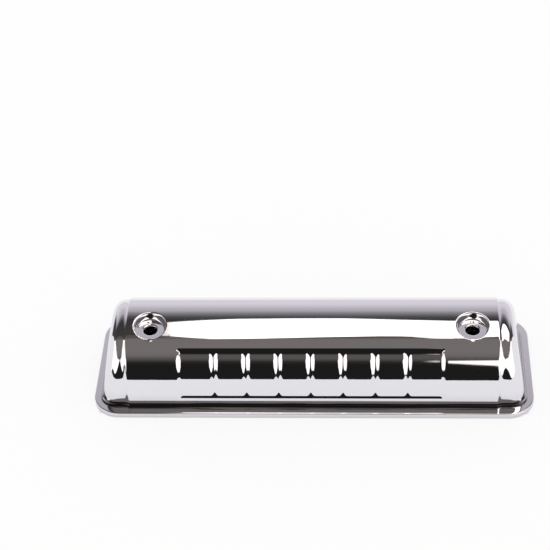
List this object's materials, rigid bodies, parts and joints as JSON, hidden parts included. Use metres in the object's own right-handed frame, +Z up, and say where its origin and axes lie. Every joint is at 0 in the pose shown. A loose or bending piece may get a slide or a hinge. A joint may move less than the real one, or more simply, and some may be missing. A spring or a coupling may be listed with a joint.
{
  "type": "engine valve cover",
  "caption": "Long chromed pressed-steel engine valve cover with a ribbed panel on its sloping front, sunk stud seats and a flanged rim with a turned-down lip.",
  "frame": {"origin": "middle of the rim, on the plane that the lip's edge rests on", "axes": "+X along the cover, +Y from the ribbed front slope to the plain back wall, +Z up from the open underside to the crown"},
  "size_m": [0.463, 0.145, 0.0866],
  "materials": {
    "chromed_steel": "polished chrome plate on pressed steel"
  },
  "bodies": {
    "root": {"pressed_cover": "chromed_steel"}
  },
  "joints": []
}
